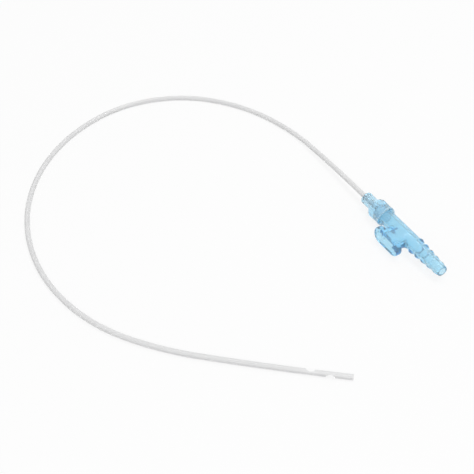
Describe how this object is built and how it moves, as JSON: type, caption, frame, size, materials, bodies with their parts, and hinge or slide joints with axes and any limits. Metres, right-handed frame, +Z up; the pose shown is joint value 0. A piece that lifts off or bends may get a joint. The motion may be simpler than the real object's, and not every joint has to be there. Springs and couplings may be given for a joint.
{
  "type": "suction catheter",
  "caption": "Suction catheter: a long soft tube with side eyes at its open tip, a ribbed funnel connector, and a fingertip control with an oval thumb port and a tapering hose barb.",
  "frame": {"origin": "on the surface that the catheter lies on, under the middle of the box round the funnel connector and the fingertip control", "axes": "+X along the connector's axis, out of the hose barb; -Y the way the thumb port faces; +Z up"},
  "size_m": [0.2371, 0.1735, 0.0108],
  "materials": {
    "clear_soft_pvc": "smooth, translucent, soft",
    "blue_soft_pvc": "smooth, translucent, soft, ribbed grip",
    "blue_moulded_plastic": "glossy, translucent, injection moulded"
  },
  "bodies": {
    "root": {"catheter_tube": "clear_soft_pvc", "funnel_connector": "blue_soft_pvc", "fingertip_control": "blue_moulded_plastic"}
  },
  "joints": []
}
